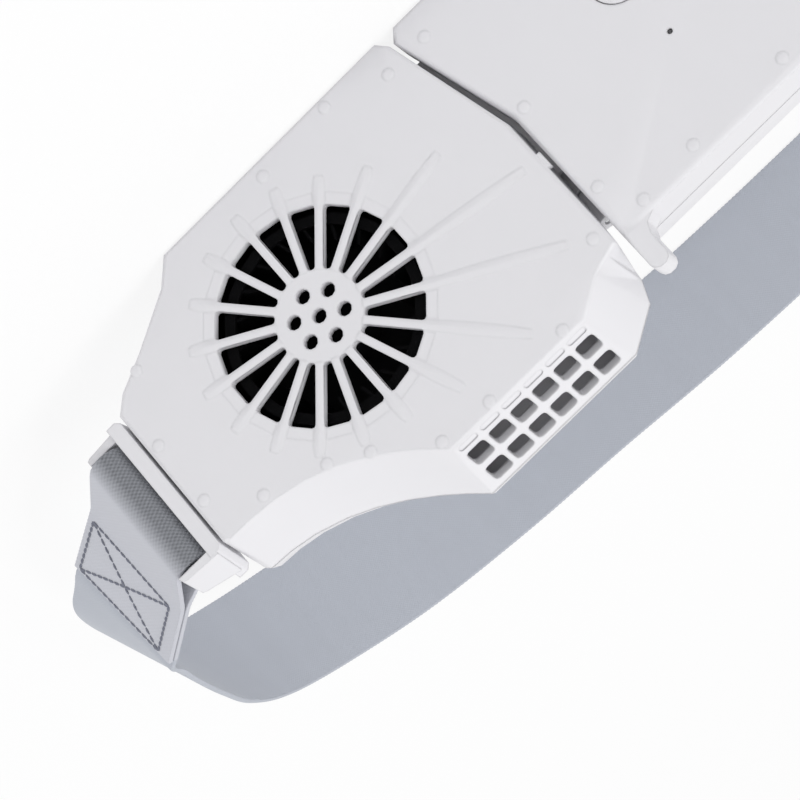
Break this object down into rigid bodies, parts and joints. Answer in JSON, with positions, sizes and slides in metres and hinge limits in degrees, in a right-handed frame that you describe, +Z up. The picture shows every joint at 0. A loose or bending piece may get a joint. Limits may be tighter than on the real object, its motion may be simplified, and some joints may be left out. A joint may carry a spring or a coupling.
{
  "type": "waist belt fan",
  "caption": "Wearable waist fan: battery module between hinged blower modules with round intakes and slotted snouts, on a buckled webbing belt.",
  "frame": {"origin": "middle of the bounding box at its base, on the surface the modules stand on", "axes": "+X to the right along the modules seen from outside, +Y from the outer face towards the wearer, +Z up towards the air outlets"},
  "size_m": [0.4861, 0.2608, 0.106],
  "materials": {
    "black_plastic": "matte",
    "board": "matte",
    "buckle_plastic": "satin",
    "button_plastic": "satin",
    "cell_sleeve": "gloss",
    "duct_plastic": "matte",
    "lead_sleeve": "matte",
    "lens": "gloss",
    "steel": "satin",
    "webbing": "woven",
    "white_plastic": "satin",
    "winding": "satin"
  },
  "bodies": {
    "centre": {"centre_front_shell": "white_plastic", "centre_rear_shell": "white_plastic", "battery_cell_1": "cell_sleeve", "battery_cell_2": "cell_sleeve", "battery_cell_3": "cell_sleeve", "control_board": "board", "charging_port": "steel", "button_switch": "black_plastic", "status_lamp": "lens", "centre_screw_1": "steel", "centre_screw_2": "steel", "centre_screw_3": "steel", "centre_screw_4": "steel", "right_hinge_pin": "steel", "left_hinge_pin": "steel", "belt_rear": "webbing", "belt_right_side": "webbing", "belt_left_side": "webbing"},
    "button": {"power_button": "button_plastic"},
    "right_fan": {"right_fan_front_cover": "white_plastic", "right_fan_rear_cover": "white_plastic", "right_blower_scroll": "duct_plastic", "right_motor_stator": "winding", "right_motor_bearing": "steel", "right_motor_lead": "lead_sleeve", "right_loop_pin": "steel", "right_fan_screw_1": "steel", "right_fan_screw_2": "steel", "right_fan_screw_3": "steel", "right_fan_screw_4": "steel"},
    "right_rotor": {"right_impeller": "black_plastic", "right_motor_shaft": "steel"},
    "right_loop": {"right_loop_frame": "white_plastic", "right_loop_bar": "steel", "belt_right_end": "webbing"},
    "left_fan": {"left_fan_front_cover": "white_plastic", "left_fan_rear_cover": "white_plastic", "left_blower_scroll": "duct_plastic", "left_motor_stator": "winding", "left_motor_bearing": "steel", "left_motor_lead": "lead_sleeve", "left_loop_pin": "steel", "left_fan_screw_1": "steel", "left_fan_screw_2": "steel", "left_fan_screw_3": "steel", "left_fan_screw_4": "steel", "belt_left_end": "webbing", "belt_left_adjuster": "webbing", "buckle_socket": "buckle_plastic", "buckle_plug": "buckle_plastic"},
    "left_rotor": {"left_impeller": "black_plastic", "left_motor_shaft": "steel"},
    "left_loop": {"left_loop_frame": "white_plastic", "left_loop_bar": "steel"},
    "upper_arm": {"buckle_arm_upper": "buckle_plastic"},
    "lower_arm": {"buckle_arm_lower": "buckle_plastic"},
    "keeper": {"strap_keeper": "buckle_plastic"}
  },
  "joints": [
    {"name": "power_button_press", "type": "slide", "parent": "centre", "child": "button", "axis": [0, 1, 0], "range_m": [0, 0.0008], "stiffness_N_per_m": 600},
    {"name": "right_fan_hinge", "type": "hinge", "parent": "centre", "child": "right_fan", "pos_m": [0.04535, -0.1086, 0.0592], "axis": [0, 0, 1], "range_deg": [-2, 30], "deforming": ["belt_right_side"]},
    {"name": "right_impeller_spin", "type": "hinge", "parent": "right_fan", "child": "right_rotor", "pos_m": [0.1162, -0.1124, 0.0447], "axis": [0, 1, 0], "continuous": true},
    {"name": "right_loop_hinge", "type": "hinge", "parent": "right_fan", "child": "right_loop", "pos_m": [0.1748, -0.1166, 0.0487], "axis": [0, 0, 1], "range_deg": [-3, 40], "deforming": ["belt_right_side"]},
    {"name": "left_fan_hinge", "type": "hinge", "parent": "centre", "child": "left_fan", "pos_m": [-0.04535, -0.1086, 0.0592], "axis": [0, 0, -1], "range_deg": [-2, 30], "deforming": ["belt_left_side"]},
    {"name": "left_impeller_spin", "type": "hinge", "parent": "left_fan", "child": "left_rotor", "pos_m": [-0.1162, -0.1124, 0.0447], "axis": [0, 1, 0], "continuous": true},
    {"name": "left_loop_hinge", "type": "hinge", "parent": "left_fan", "child": "left_loop", "pos_m": [-0.1748, -0.1166, 0.0487], "axis": [0, 0, -1], "range_deg": [-3, 40], "deforming": ["belt_left_end"]},
    {"name": "upper_arm_press", "type": "hinge", "parent": "left_fan", "child": "upper_arm", "pos_m": [-0.239, -0.0306, 0.0624], "axis": [1, 0, 0], "range_deg": [0, 12], "stiffness_Nm_per_rad": 0.6},
    {"name": "lower_arm_press", "type": "hinge", "parent": "left_fan", "child": "lower_arm", "pos_m": [-0.239, -0.0306, 0.035], "axis": [-1, 0, 0], "range_deg": [0, 12], "stiffness_Nm_per_rad": 0.6},
    {"name": "strap_keeper_slide", "type": "slide", "parent": "left_fan", "child": "keeper", "axis": [0, 1, 0], "range_m": [-0.01, 0.009]}
  ]
}
